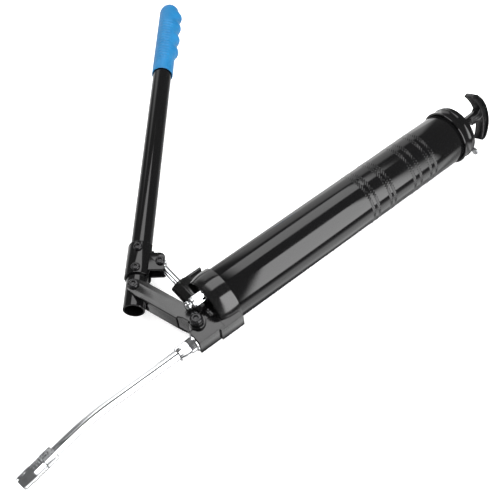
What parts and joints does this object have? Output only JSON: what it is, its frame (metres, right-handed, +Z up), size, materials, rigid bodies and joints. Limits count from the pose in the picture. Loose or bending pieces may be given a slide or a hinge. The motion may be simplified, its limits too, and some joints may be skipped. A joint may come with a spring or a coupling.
{
  "type": "lever grease gun",
  "caption": "Lever-type hand grease gun: black barrel with pump head and pull handle, pivoted lever with a blue grip, and a bent steel delivery pipe with a coupler.",
  "frame": {"origin": "under the middle of the gun's box, at its lowest point, the gun lying on its side", "axes": "+X along the barrel from the pump head to the pull handle, +Y along the plunger's stroke towards the lever, +Z up, square to the plane the lever swings in"},
  "size_m": [0.6266, 0.4518, 0.0618],
  "materials": {
    "black_coat": "gloss black powder coat",
    "black_plastic": "moulded, semi-gloss",
    "black_oxide": "blackened steel, oiled",
    "blue_vinyl": "dipped soft vinyl, fine ribs",
    "chrome": "bright plating",
    "zinc": "bright zinc plating",
    "plain_steel": "plain, oiled",
    "rubber": "matt"
  },
  "bodies": {
    "gun": {"head_casting": "black_coat", "head_gasket": "rubber", "plunger_seal": "rubber", "check_spring": "plain_steel", "bleeder_body": "chrome", "barrel_tube": "black_coat", "end_cap": "black_coat", "follower_spring": "plain_steel", "outlet_adapter": "chrome", "delivery_pipe": "chrome", "coupler_body": "zinc", "coupler_sleeve": "chrome", "coupler_seal": "rubber", "coupler_jaw_1": "plain_steel", "coupler_jaw_2": "plain_steel", "coupler_jaw_3": "plain_steel", "coupler_jaw_4": "plain_steel", "link_head_bolt": "black_oxide", "link_head_nut": "black_oxide"},
    "plunger": {"plunger_rod": "chrome"},
    "lever": {"lever_tube": "black_coat", "lever_clamp": "black_coat", "clamp_screw_lower": "black_oxide", "clamp_screw_upper": "black_oxide", "lever_grip": "blue_vinyl", "plunger_pin": "black_oxide", "plunger_pin_nut": "black_oxide"},
    "link": {"link_channel": "black_coat", "link_lever_pin": "black_oxide", "link_lever_nut": "black_oxide"},
    "follower": {"follower_seal": "rubber", "follower_plate": "plain_steel"},
    "pull_rod": {"follower_rod": "plain_steel", "t_handle": "black_plastic", "follower_nut": "plain_steel"},
    "rod_lock": {"rod_lock": "zinc"},
    "bleeder_button": {"bleeder_valve": "chrome"},
    "check_ball": {"check_ball": "plain_steel"}
  },
  "joints": [
    {"name": "lever_swing", "type": "hinge", "parent": "plunger", "child": "lever", "pos_m": [-0.08631, -0.11084, 0.0309], "axis": [0, 0, 1], "range_deg": [-33, 5]},
    {"name": "plunger_slide", "type": "slide", "parent": "gun", "child": "plunger", "axis": [0, 1, 0], "range_m": [-0.0232, 0.0038]},
    {"name": "link_swing", "type": "hinge", "parent": "gun", "child": "link", "pos_m": [-0.10211, -0.19444, 0.0309], "axis": [0, 0, 1], "range_deg": [-0.08, 0.53]},
    {"name": "follower_pull", "type": "slide", "parent": "gun", "child": "follower", "axis": [1, 0, 0], "range_m": [0, 0.24], "deforming": ["follower_spring"]},
    {"name": "handle_turn", "type": "hinge", "parent": "follower", "child": "pull_rod", "pos_m": [0.27369, -0.18084, 0.0309], "axis": [1, 0, 0], "continuous": true},
    {"name": "rod_lock_tilt", "type": "hinge", "parent": "gun", "child": "rod_lock", "pos_m": [0.26619, -0.16855, 0.03513], "axis": [0, -0.3256, 0.9455], "range_deg": [0, 4], "stiffness_Nm_per_rad": 0.08, "springref_deg": -11.46},
    {"name": "bleeder_press", "type": "slide", "parent": "gun", "child": "bleeder_button", "axis": [1, 0, 0], "range_m": [0, 0.0012], "stiffness_N_per_m": 600, "springref_m": -0.002},
    {"name": "check_ball_lift", "type": "slide", "parent": "gun", "child": "check_ball", "axis": [-1, 0, 0], "range_m": [0, 0.001], "stiffness_N_per_m": 200, "springref_m": -0.002, "deforming": ["check_spring"]}
  ],
  "couplings": [
    {"joint": "plunger_slide", "follows": "lever_swing", "m_per_rad": 0.0391},
    {"joint": "link_swing", "follows": "lever_swing", "ratio": -0.015}
  ]
}
